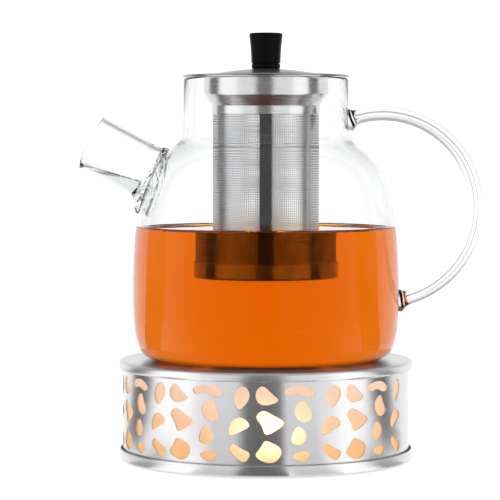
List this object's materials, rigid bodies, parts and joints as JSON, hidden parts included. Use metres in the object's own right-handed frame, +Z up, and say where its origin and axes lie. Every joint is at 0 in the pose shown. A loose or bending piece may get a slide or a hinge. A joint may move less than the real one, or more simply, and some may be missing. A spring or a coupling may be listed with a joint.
{
  "type": "glass teapot",
  "caption": "Clear glass teapot with a tube spout, rod handle, lift-out perforated steel infuser and domed lid, standing on a pierced steel tealight warmer.",
  "frame": {"origin": "centre of the underside of the warmer's base tray, on the axis that all the round pieces share", "axes": "+Z up along the pot's axis, -X towards the spout, +X towards the handle, -Y towards the pictured side"},
  "size_m": [0.2065, 0.15, 0.2173],
  "materials": {
    "satin_steel": "satin brushed stainless steel",
    "polished_steel": "bright polished stainless steel",
    "clear_glass": "clear borosilicate glass",
    "black_plastic": "black moulded plastic, satin",
    "foil": "thin aluminium foil",
    "wax": "white paraffin wax",
    "wick": "braided cotton",
    "frosted_glass": "frosted translucent sheet that glows with the candle behind it"
  },
  "bodies": {
    "base": {"base_tray": "satin_steel", "candle_ring": "satin_steel"},
    "tealight": {"tealight_cup": "foil", "tealight_wax": "wax", "tealight_wick": "wick", "wick_tab": "foil"},
    "drum": {"drum_wall": "satin_steel", "drum_liner": "frosted_glass", "top_plate": "satin_steel"},
    "pot": {"glass_body": "clear_glass", "spout_tube": "clear_glass", "spout_bead": "clear_glass", "handle_rod": "clear_glass", "handle_upper_weld": "clear_glass", "handle_lower_weld": "clear_glass"},
    "infuser": {"infuser_collar": "polished_steel", "infuser_tube": "satin_steel", "infuser_base": "polished_steel"},
    "lid": {"lid_cover": "satin_steel", "lid_skirt": "polished_steel", "lid_knob": "black_plastic", "knob_foot": "black_plastic", "knob_washer": "satin_steel", "knob_screw": "polished_steel"}
  },
  "joints": [
    {"name": "drum_lift", "type": "slide", "parent": "base", "child": "drum", "axis": [0, 0, 1], "range_m": [0, 0.06]},
    {"name": "tealight_lift", "type": "slide", "parent": "base", "child": "tealight", "axis": [0, 0, 1], "range_m": [0, 0.012]},
    {"name": "pot_lift", "type": "slide", "parent": "drum", "child": "pot", "axis": [0, 0, 1], "range_m": [0, 0.06]},
    {"name": "infuser_lift", "type": "slide", "parent": "pot", "child": "infuser", "axis": [0, 0, 1], "range_m": [0, 0.13]},
    {"name": "lid_lift", "type": "slide", "parent": "infuser", "child": "lid", "axis": [0, 0, 1], "range_m": [0, 0.04]}
  ]
}
